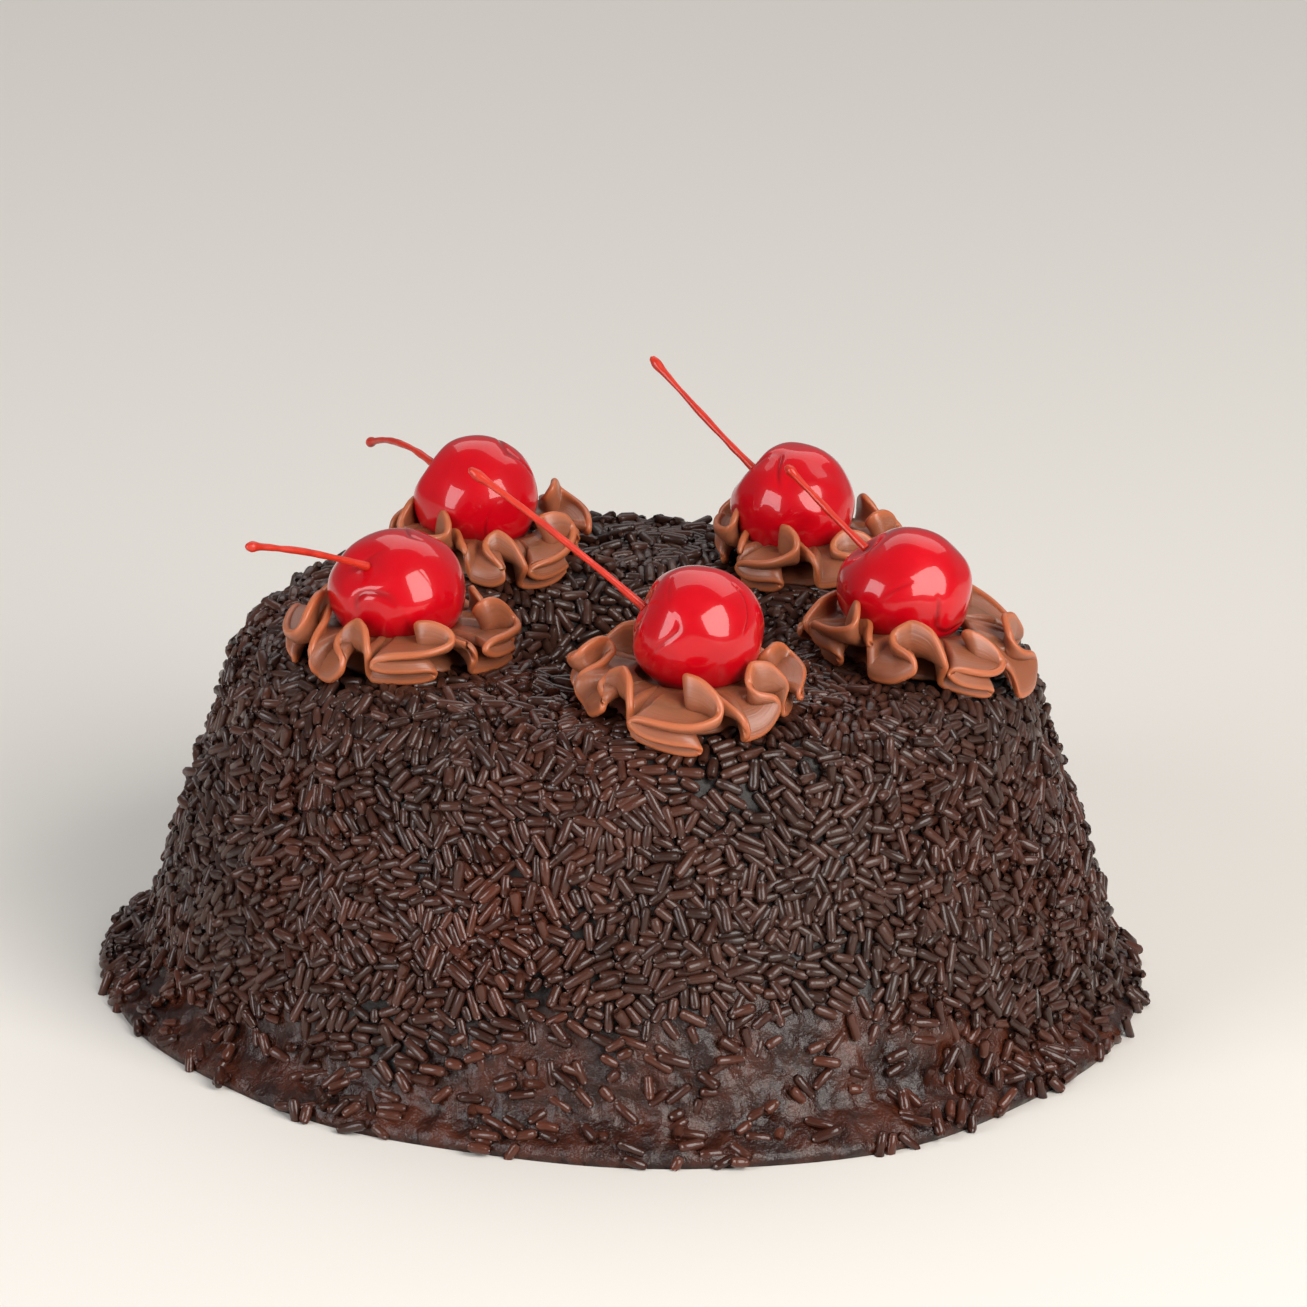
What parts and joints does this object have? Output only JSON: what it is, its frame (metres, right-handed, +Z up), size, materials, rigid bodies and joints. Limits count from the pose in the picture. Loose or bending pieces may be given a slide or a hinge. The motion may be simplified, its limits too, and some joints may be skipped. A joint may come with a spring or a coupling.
{
  "type": "chocolate flan with cherries",
  "caption": "A ring-shaped chocolate flan coated with chocolate sprinkles, with piped ganache rosettes round its crest, each holding a stemmed cherry",
  "frame": {"origin": "The middle of the flan's underside, on the surface that it stands on", "axes": "+Z up. The front, with the cherry that stands nearest in the picture, is at -Y, and +X is to the right"},
  "size_m": [0.1808, 0.1786, 0.1027],
  "materials": {
    "chocolate": "Dark chocolate sprinkles lying close in a thin wet chocolate glaze, satin to glossy",
    "ganache": "Piped milk-chocolate ganache with a soft satin sheen and warm, slightly translucent edges",
    "cherry": "Maraschino cherry skin, saturated red, wet and very glossy, with fine creases",
    "stem": "Cherry stem dyed orange-red to dark red, glossy, with small nodes and a knobbed end"
  },
  "bodies": {
    "root": {"flan_body": "chocolate", "rosette_1": "ganache", "rosette_2": "ganache", "rosette_3": "ganache", "rosette_4": "ganache", "rosette_5": "ganache", "cherry_1": "cherry", "cherry_2": "cherry", "cherry_3": "cherry", "cherry_4": "cherry", "cherry_5": "cherry", "stem_1": "stem", "stem_2": "stem", "stem_3": "stem", "stem_4": "stem", "stem_5": "stem"}
  },
  "joints": []
}
